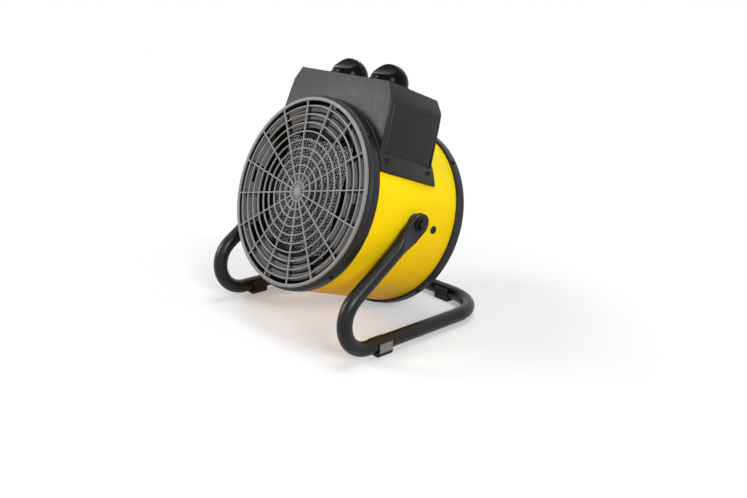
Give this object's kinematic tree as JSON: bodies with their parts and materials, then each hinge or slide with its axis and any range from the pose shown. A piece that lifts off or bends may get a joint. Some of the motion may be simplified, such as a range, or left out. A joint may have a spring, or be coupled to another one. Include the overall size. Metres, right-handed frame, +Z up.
{
  "type": "forced air heater",
  "caption": "Round portable fan heater: a drum with a front grille, heating element and fan, a control box with knobs on its back, tilting in a bent tube stand.",
  "frame": {"origin": "middle of the footprint, on the floor", "axes": "+Z up, the front grille faces -Y, +X to the right of someone looking at the grille along +Y"},
  "size_m": [0.2538, 0.2496, 0.301],
  "materials": {
    "yellow_paint": "semi-gloss powder coat on sheet steel",
    "black_paint": "semi-gloss black powder coat",
    "black_plastic": "fine-grained moulded plastic",
    "grey_plastic": "satin moulded plastic",
    "knob_plastic": "polished black plastic",
    "foot_rubber": "matte rubber",
    "dark_steel": "blackened steel",
    "zinc_steel": "zinc plated steel",
    "galvanised_steel": "galvanised sheet steel",
    "fin_aluminium": "bare folded foil",
    "heat_plastic": "heat-resistant plastic",
    "fan_plastic": "moulded plastic",
    "pale_plastic": "electrical plastic"
  },
  "bodies": {
    "stand": {"stand_tube": "black_paint", "front_foot_right": "foot_rubber", "front_foot_left": "foot_rubber", "rear_foot_right": "foot_rubber", "rear_foot_left": "foot_rubber"},
    "housing": {"drum_shell": "yellow_paint", "front_ring": "black_plastic", "rear_ring": "black_plastic", "front_grille": "grey_plastic", "guide_plate": "grey_plastic", "rear_guard": "black_plastic", "heater_core": "fin_aluminium", "end_cap_top": "heat_plastic", "end_cap_bottom": "heat_plastic", "baffle_plate": "galvanised_steel", "thermal_cut_out": "pale_plastic", "motor": "galvanised_steel", "motor_strap": "galvanised_steel", "control_box": "black_plastic", "selector_switch": "pale_plastic", "thermostat": "zinc_steel", "terminal_block": "pale_plastic", "cable_gland": "black_plastic", "gland_nut": "zinc_steel", "pivot_bolt_right": "dark_steel", "pivot_spacer_right": "foot_rubber", "pivot_nut_right": "zinc_steel", "box_screw_front_right": "dark_steel", "box_screw_rear_right": "dark_steel", "lid_screw_right": "dark_steel", "strap_screw_right": "dark_steel", "pivot_bolt_left": "dark_steel", "pivot_spacer_left": "foot_rubber", "pivot_nut_left": "zinc_steel", "box_screw_front_left": "dark_steel", "box_screw_rear_left": "dark_steel", "lid_screw_left": "dark_steel", "strap_screw_left": "dark_steel", "front_ring_screw_1": "dark_steel", "front_ring_screw_2": "dark_steel", "front_ring_screw_3": "dark_steel", "front_ring_screw_4": "dark_steel", "rear_ring_screw_1": "dark_steel", "rear_ring_screw_2": "dark_steel", "rear_ring_screw_3": "dark_steel", "rear_ring_screw_4": "dark_steel"},
    "fan_rotor": {"fan": "fan_plastic", "motor_shaft": "zinc_steel"},
    "selector": {"selector_knob": "knob_plastic", "selector_stem": "zinc_steel"},
    "thermostat_control": {"thermostat_knob": "knob_plastic", "thermostat_stem": "zinc_steel"}
  },
  "joints": [
    {"name": "housing_tilt", "type": "hinge", "parent": "stand", "child": "housing", "pos_m": [0, -0.0123, 0.13894], "axis": [1, 0, 0], "range_deg": [-4, 20]},
    {"name": "fan_spin", "type": "hinge", "parent": "housing", "child": "fan_rotor", "pos_m": [0, -0.03257, 0.14303], "axis": [0, 0.9461, -0.3239], "continuous": true},
    {"name": "selector_turn", "type": "hinge", "parent": "housing", "child": "selector", "pos_m": [-0.0335, 0.01307, 0.27633], "axis": [0, -0.3239, -0.9461], "range_deg": [0, 135]},
    {"name": "thermostat_turn", "type": "hinge", "parent": "housing", "child": "thermostat_control", "pos_m": [0.0335, 0.01307, 0.27633], "axis": [0, -0.3239, -0.9461], "range_deg": [0, 270]}
  ]
}
